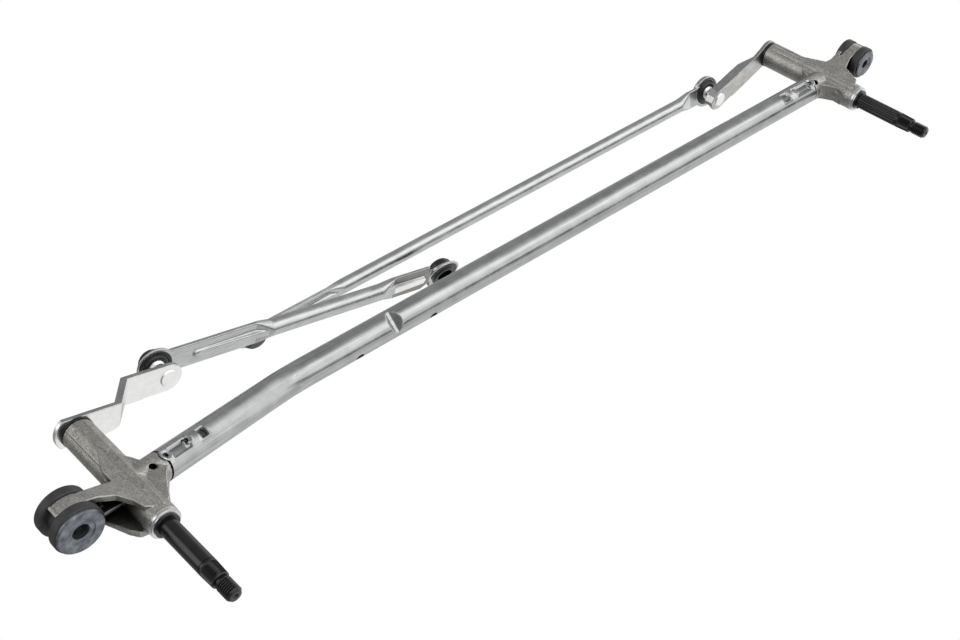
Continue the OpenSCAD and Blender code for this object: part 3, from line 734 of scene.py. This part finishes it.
# Castings with rounded edges; the left ear's upper rib is trimmed behind.
rib_back = prism([(-33.0, 15.2), (-33.0, 24.0), (-9.5, 16.5), (-10.4, 8.6)], 40.0, 54.4)
left_shapes = [("DIFFERENCE", rib_back, Matrix.Translation(SHIFT))]
add_piece("left_casting", softened("left_housing", "left_casting", 0.45, 3, None, left_shapes),
          "frame", "casting", "left_housing")
add_piece("right_casting", softened("right_housing", "right_casting", 0.45, 3),
          "frame", "casting", "right_housing")

# Levers with rounded edges and duller cut sides.
lever_left = to_part() @ turn(-LEFT_LEVER_ANGLE, "Z")
lever_right = to_part() @ Matrix.Translation((PITCH, 0, 0)) @ turn(180 + RIGHT_LEVER_ANGLE, "Z")
left_plate = softened("left_lever", "left_lever_plate", 0.31, 3, lever_left)
add_piece("left_lever_plate", left_plate, "left_spindle_group", "zinc_plate", "left_lever")
right_plate = softened("right_lever", "right_lever_plate", 0.31, 3, lever_right)
add_piece("right_lever_plate", right_plate, "right_spindle_group", "zinc_plate", "right_lever",
          look="zinc_dull")
for plate, place in ((left_plate, lever_left), (right_plate, lever_right)):
    plate.materials.append(looks["galvanised"])
    sideways = place.to_3x3() @ Vector((0, 1, 0))
    for face in plate.polygons:
        face.material_index = 1 if abs(face.normal @ sideways.normalized()) > 0.6 else 0

# Links: eyes thinned behind, a corner cut off the short one and beads on the flattened ends.
thin_eye = wedge((-16.0, -16.0, -8.0), (13.4, 16.0, 0.0), 1.0, -1.42)
short_far = Matrix.Translation((SHORT_LEN, 0, 0)) @ turn(180.0, "Z")
corner = prism([(21.5, 14.0), (12.6, 14.0), (12.6, 4.5), (21.5, 9.4)], -8.0, 8.0)
short_shapes = [("DIFFERENCE", thin_eye, Matrix())]
short_shapes += [("DIFFERENCE", thin_eye, short_far @ turn(-SHORT_TWIST, "X"))]
short_shapes += [("DIFFERENCE", corner, short_far)]
short_shapes += [("UNION", bead_bar(28.0, 86.0, 3.1, 2.8, 4.6), Matrix())]
short_shapes += [("UNION", bead_bar(17.0, 58.0, 3.7, 3.0, 4.9), short_far)]
long_far = Matrix.Translation((LONG_LEN, 0, 0)) @ turn(-LONG_TWIST, "X") @ turn(180.0, "Z")
long_shapes = [("UNION", bead_bar(27.0, 76.0, 2.6, 2.7, 4.4), long_far)]
short_steel = softened("short_link", "short_link_steel", 0.36, 10, short_link_place(), short_shapes)
add_piece("short_link_steel", short_steel, "short_link_group", "galvanised", "short_link", look="link")
long_steel = softened("long_link", "long_link_steel", 0.36, 5, long_link_place(), long_shapes)
add_piece("long_link_steel", long_steel, "long_link_group", "galvanised", "long_link", look="link")


def mark_flats(mesh, place, spot, low, high):
    """Gives the front of a flattened end a darker, duller look and the bead on it a painted highlight."""
    mesh.materials.append(looks["link_flat"])
    mesh.materials.append(looks["zinc_plate"])
    back = (place @ spot).inverted()
    level = back.to_3x3()
    for face in mesh.polygons:
        x, y, z = back @ face.center
        lean = (level @ face.normal).normalized().z
        if low < x < high and abs(y) < 9.5 and lean > 0.6:
            # Upward bead tops take the bright zinc_plate look as a painted highlight; the rest of the flat
            # takes link_flat.
            face.material_index = 2 if z > 2.5 and lean > 0.85 else 1


mark_flats(short_steel, short_link_place(), short_far, 13.5, 47.0)


# Spindles: the turned shape with a splined taper and a cut thread.
def spindle_mesh(name, place, flutes):
    """flutes is the number of long grooves along the plain shaft, none when it is 0."""
    count = 192
    profile = [(0.01, -7.0), (6.2, -7.0), (6.6, -7.0), (7.2, -6.5), (7.6, -6.0), (7.6, -5.0)]
    profile += [(6.0, -4.98), (6.0, 90.7), (5.5, 90.72), (5.5, 91.88), (6.0, 91.9), (6.0, 110.0)]
    profile += [(6.0, 128.0), (5.65, 128.15), (5.65, 128.85), (5.98, 129.0)]
    rings = []
    angles = 2 * np.pi * np.arange(count) / count
    for radius, height in profile:
        if flutes and height == 110.0:
            for at in (93.0, 94.0, 126.4, 127.4):
                deep = 0.6 if 93.5 < at < 127.0 else 0.0
                rings.append((6.0 - deep * (0.5 + 0.5 * np.cos(angles * flutes)) ** 2, at))
            continue
        rings.append((np.full(count, radius), height))
    for height in np.linspace(129.3, 140.4, 16):
        base = 6.0 + (5.6 - 6.0) * (height - 128.9) / (140.5 - 128.9)
        deep = 0.34 * min(1.0, (height - 129.3) / 1.2, (140.6 - height) / 0.5)
        tooth = 0.5 + 0.5 * np.cos(angles * 48)
        rings.append((base - deep * tooth, height))
    rings += [(np.full(count, 5.1), 141.0), (np.full(count, 4.2), 141.02), (np.full(count, 4.2), 142.3)]
    pitch = 1.5
    for height in np.arange(142.4, 152.9, pitch / 10):
        phase = ((height / pitch - angles / (2 * np.pi)) % 1.0)
        ridge = 1 - np.abs(2 * phase - 1)
        ridge = np.clip(ridge * 1.5 - 0.2, 0.0, 1.0)
        start = min(1.0, (height - 142.3) / 0.8)
        rings.append((4.18 + 0.82 * ridge * start, height))
    rings += [(np.full(count, 3.85), 153.9), (np.full(count, 3.6), 154.0), (np.full(count, 1.9), 154.0)]
    rings += [(np.full(count, 1.5), 153.6), (np.full(count, 0.02), 152.6)]
    loops = []
    for radius, height in rings:
        pairs = zip(radius, angles)
        loops.append([place @ Vector((r * math.cos(a), r * math.sin(a), height)) for r, a in pairs])
    mesh = surface(name, loops)
    shade(mesh, 35.0)
    return mesh


right_spindle_place = to_part() @ Matrix.Translation((PITCH, 0, 0))
add_piece("left_shaft", spindle_mesh("left_shaft", to_part(), 0),
          "left_spindle_group", "black_shaft", "left_spindle")
add_piece("right_shaft", spindle_mesh("right_shaft", right_spindle_place, 16),
          "right_spindle_group", "black_shaft", "right_spindle")

# Ball sockets with a rolled lip, a groove and a domed back.
SEAT_R = 6.56
BALL_SEAT = [(SEAT_R * math.cos(a), SEAT_R * math.sin(a)) for a in np.radians(np.linspace(-89.5, 26.0, 30))]
LIP = [(5.85, 2.9), (6.0, 3.3), (6.5, 3.5), (7.6, 3.4), (8.3, 2.9), (8.6, 2.2)]
INSET_RIM = [(9.3, 1.7), (9.9, 1.6), (10.2, 1.3), (10.38, 0.9)]
WIDE_RIM = [(9.0, 1.95), (9.4, 2.25), (11.1, 2.25), (11.4, 2.05), (11.5, 1.62), (10.3, 1.62)]
WIDE_RIM += [(10.38, 0.9)]
DOME = [(10.4, 0.4), (10.4, -1.4), (9.1, -1.45), (9.0, -1.8), (9.0, -4.6), (8.8, -5.3)]
DOME += [(7.0, -7.4), (6.3, -7.85), (5.6, -8.0), (3.0, -8.0), (0.05, -8.0)]
cups = [("short_lever_cup", short_link_place(), 0.0, 0.0, "short_link_lever_socket")]
cups += [("short_motor_cup", short_link_place(), SHORT_LEN, SHORT_TWIST, "short_link_motor_socket")]
cups += [("long_lever_cup", long_link_place(), 0.0, 0.0, "long_link_lever_socket")]
cups += [("long_motor_cup", long_link_place(), LONG_LEN, 180.0 - LONG_TWIST, "long_link_motor_socket")]
for name, place, reach, roll, node in cups:
    spot = place @ Matrix.Translation((reach, 0, 0)) @ turn(roll, "X")
    short = name.startswith("short")
    rim = WIDE_RIM if short else INSET_RIM
    cup = lathe(name, BALL_SEAT + LIP + rim + DOME, spot, 96, 50.0)
    add_piece(name, cup, "short_link_group" if short else "long_link_group", "black_plastic", node)


# Floor and light.
def add_floor():
    """White ground that neither lights the part nor shows in it."""
    lowest = cad_box[0][2]
    mesh = bpy.data.meshes.new("floor")
    half = 20.0
    z = lowest - 0.002
    corners = [(-half, -half, z), (half, -half, z), (half, half, z), (-half, half, z)]
    mesh.from_pydata(corners, [], [(0, 1, 2, 3)])
    obj = bpy.data.objects.new("floor", mesh)
    bpy.context.scene.collection.objects.link(obj)
    mat = bpy.data.materials.new("floor_look")
    mat.use_nodes = True
    shader = mat.node_tree.nodes["Principled BSDF"]
    shader.inputs["Base Color"].default_value = (0.0, 0.0, 0.0, 1.0)
    shader.inputs["Specular IOR Level"].default_value = 0.0
    shader.inputs["Emission Color"].default_value = (1.0, 1.0, 1.0, 1.0)
    shader.inputs["Emission Strength"].default_value = 1.0
    mesh.materials.append(mat)
    obj.visible_glossy = False
    obj.visible_diffuse = False


# Light: two directions square to the tube, the tube's own and the lamp's, then degrees and brightness.
LIGHT_DOWN = (-0.0159, -0.6177, 0.7862)
LIGHT_NEAR = (-0.096, 0.7836, 0.6137)
LIGHT_ALONG = (0.9953, 0.0658, 0.0719)
LAMP_DIR = (-0.734, 0.443, -0.514)
LIGHT = ((-180, 0.25), (-61, 0.24), (-40, 0.36), (-27, 0.80), (-16, 1.0), (0, 1.0), (14, 0.80))
LIGHT += ((36, 0.66), (42, 0.58), (46, 0.12), (56, 0.12), (61, 0.50), (125, 0.52), (150, 0.40), (180, 0.25))


def add_world():
    """Studio light by the angle about the tube's long axis, 0 towards the near side and 90 downwards.

    Grey beyond the object, a bright panel above its near side, a thin dark edge, then the pale table. Dim
    to the left, with a lamp there that draws the band along the black shafts, and a window to the right.
    """
    world = bpy.data.worlds.new("studio")
    bpy.context.scene.world = world
    world.use_nodes = True
    tree = world.node_tree
    background = tree.nodes["Background"]
    coords = tree.nodes.new("ShaderNodeTexCoord")
    parts = []
    for axis in (LIGHT_DOWN, LIGHT_NEAR):
        lean = tree.nodes.new("ShaderNodeVectorMath")
        lean.operation = "DOT_PRODUCT"
        lean.inputs[1].default_value = axis
        tree.links.new(coords.outputs["Generated"], lean.inputs[0])
        parts.append(lean.outputs["Value"])
    angle = tree.nodes.new("ShaderNodeMath")
    angle.operation = "ARCTAN2"
    tree.links.new(parts[0], angle.inputs[0])
    tree.links.new(parts[1], angle.inputs[1])
    place = spread(tree, angle.outputs["Value"], -math.pi, math.pi, 0.0, 1.0)
    tones = []
    for degrees, tone in LIGHT:
        tones.append(((degrees + 180.0) / 360.0, (tone, tone, tone * 1.01)))
    side = tree.nodes.new("ShaderNodeVectorMath")
    side.operation = "DOT_PRODUCT"
    side.inputs[1].default_value = LIGHT_ALONG
    tree.links.new(coords.outputs["Generated"], side.inputs[0])
    fade = spread(tree, side.outputs["Value"], -0.7, 0.1, 0.0, 1.0)
    shaded = mix_colour(tree, fade, (0.16, 0.16, 0.16), ramp(tree, place, tones))
    window = spread(tree, side.outputs["Value"], 0.7, 0.88, 0.0, 1.0)
    shaded = mix_colour(tree, window, shaded, (0.75, 0.75, 0.75))
    lamp = tree.nodes.new("ShaderNodeVectorMath")
    lamp.operation = "DOT_PRODUCT"
    lamp.inputs[1].default_value = LAMP_DIR
    tree.links.new(coords.outputs["Generated"], lamp.inputs[0])
    glow = spread(tree, lamp.outputs["Value"], 0.89, 0.96, 0.0, 1.0)
    shaded = mix_colour(tree, glow, shaded, (0.95, 0.95, 0.95))
    tree.links.new(shaded, background.inputs["Color"])
    background.inputs["Strength"].default_value = 1.9


add_floor()
add_world()
bpy.context.scene.view_settings.view_transform = "Standard"
